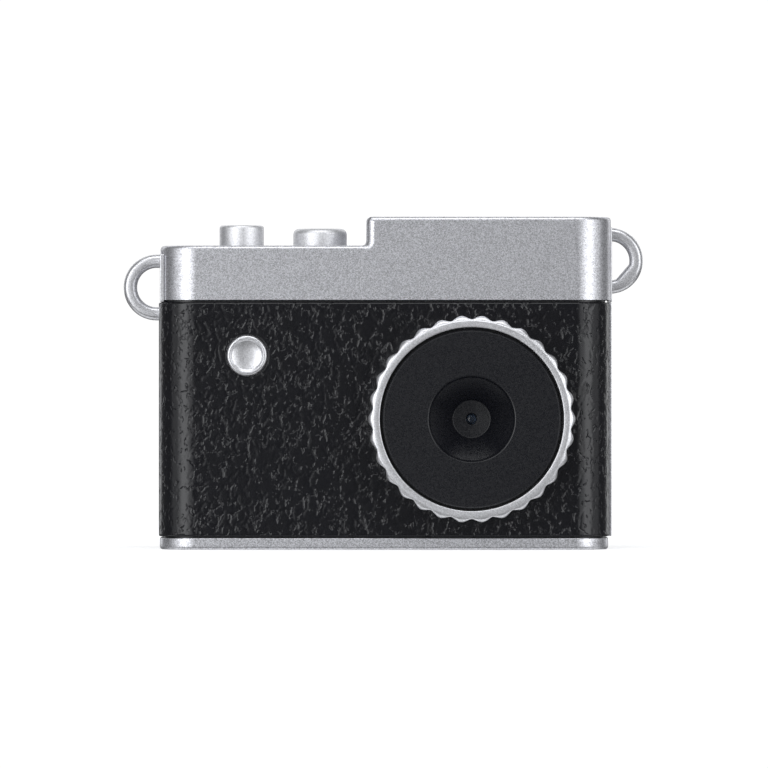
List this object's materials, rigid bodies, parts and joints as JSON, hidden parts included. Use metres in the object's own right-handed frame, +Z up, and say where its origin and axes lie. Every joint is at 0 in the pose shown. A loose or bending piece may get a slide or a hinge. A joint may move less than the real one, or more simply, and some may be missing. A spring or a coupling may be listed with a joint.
{
  "type": "miniature camera",
  "caption": "Pocket-size classic-style camera: stepped silver top cover, grained black body, knurled ring round a recessed pinhole-size lens, push buttons and a strap lug at each side.",
  "frame": {"origin": "under the middle of the whole object's box, on the surface that it stands on", "axes": "+Z up, the lens looks along -Y, +X towards the lens side"},
  "size_m": [0.054, 0.0188, 0.0347],
  "materials": {
    "silver_paint": "fine metallic silver paint on moulded plastic, satin",
    "bright_silver_paint": "brighter metallic silver paint, smooth",
    "black_leather_grain": "black plastic moulded with a creased leather grain, semi-gloss",
    "matt_black_plastic": "fine matt black moulded plastic",
    "screw_steel": "zinc-plated steel",
    "bright_steel": "bright pressed steel sheet",
    "brass": "rolled brass",
    "lens_glass": "coated lens",
    "filter_glass": "cyan filter glass",
    "clear_plastic": "clear moulded plastic",
    "screen_glass": "glossy dark display",
    "circuit_board": "green solder mask",
    "chip_black": "moulded epoxy",
    "battery_foil": "laminated foil pouch",
    "foam": "open-cell foam",
    "amber_ribbon": "polyimide ribbon",
    "red_wire": "insulated wire",
    "black_wire": "insulated wire",
    "card_black": "moulded card"
  },
  "bodies": {
    "camera_body": {"top_cover": "silver_paint", "front_panel": "black_leather_grain", "rear_panel": "black_leather_grain", "mid_frame": "silver_paint", "bottom_plate": "silver_paint", "left_strap_lug": "bright_silver_paint", "right_strap_lug": "bright_silver_paint", "bottom_screw_left": "screw_steel", "bottom_screw_right": "screw_steel", "top_screw_left": "screw_steel", "top_screw_right": "screw_steel", "board_screw_lower_left": "screw_steel", "board_screw_lower_right": "screw_steel", "board_screw_upper_left": "screw_steel", "board_screw_upper_right": "screw_steel", "lens_collar": "matt_black_plastic", "ring_friction_washer": "brass", "lens_bezel": "matt_black_plastic", "front_lens": "lens_glass", "lens_barrel": "matt_black_plastic", "aperture_disc": "chip_black", "rear_lens": "lens_glass", "lens_holder": "matt_black_plastic", "ir_filter": "filter_glass", "image_sensor": "chip_black", "lens_holder_screw_left": "screw_steel", "lens_holder_screw_right": "screw_steel", "shutter_switch": "bright_steel", "mode_switch": "bright_steel", "front_switch": "bright_steel", "main_board": "circuit_board", "image_processor": "chip_black", "flash_memory": "chip_black", "clock_crystal": "bright_steel", "power_inductor": "chip_black", "status_led": "clear_plastic", "led_light_pipe": "clear_plastic", "microphone": "bright_steel", "buzzer": "brass", "battery_cell": "battery_foil", "battery_foam_pad": "foam", "battery_lead_positive": "red_wire", "battery_lead_negative": "black_wire", "display_window": "screen_glass", "display_module": "screen_glass", "display_foam_pad": "foam", "display_ribbon": "amber_ribbon", "ribbon_connector": "chip_black", "card_socket": "bright_steel", "usb_shell": "bright_steel", "usb_tongue": "chip_black"},
    "shutter_control": {"shutter_button": "bright_silver_paint", "shutter_switch_plunger": "chip_black"},
    "mode_control": {"mode_button": "bright_silver_paint", "mode_switch_plunger": "chip_black"},
    "front_control": {"front_button": "bright_silver_paint", "front_switch_plunger": "chip_black"},
    "grip_ring": {"lens_ring": "bright_silver_paint"},
    "card": {"memory_card": "card_black"}
  },
  "joints": [
    {"name": "shutter_press", "type": "slide", "parent": "camera_body", "child": "shutter_control", "axis": [0, 0, -1], "range_m": [0, 0.0005], "stiffness_N_per_m": 1200},
    {"name": "mode_press", "type": "slide", "parent": "camera_body", "child": "mode_control", "axis": [0, 0, -1], "range_m": [0, 0.0005], "stiffness_N_per_m": 1200},
    {"name": "front_press", "type": "slide", "parent": "camera_body", "child": "front_control", "axis": [0, 1, 0], "range_m": [0, 0.0004], "stiffness_N_per_m": 1200},
    {"name": "ring_turn", "type": "hinge", "parent": "camera_body", "child": "grip_ring", "pos_m": [0.0091, -0.0075, 0.0136], "axis": [0, -1, 0], "continuous": true},
    {"name": "card_slide", "type": "slide", "parent": "camera_body", "child": "card", "axis": [-1, 0, 0], "range_m": [0, 0.017]}
  ]
}
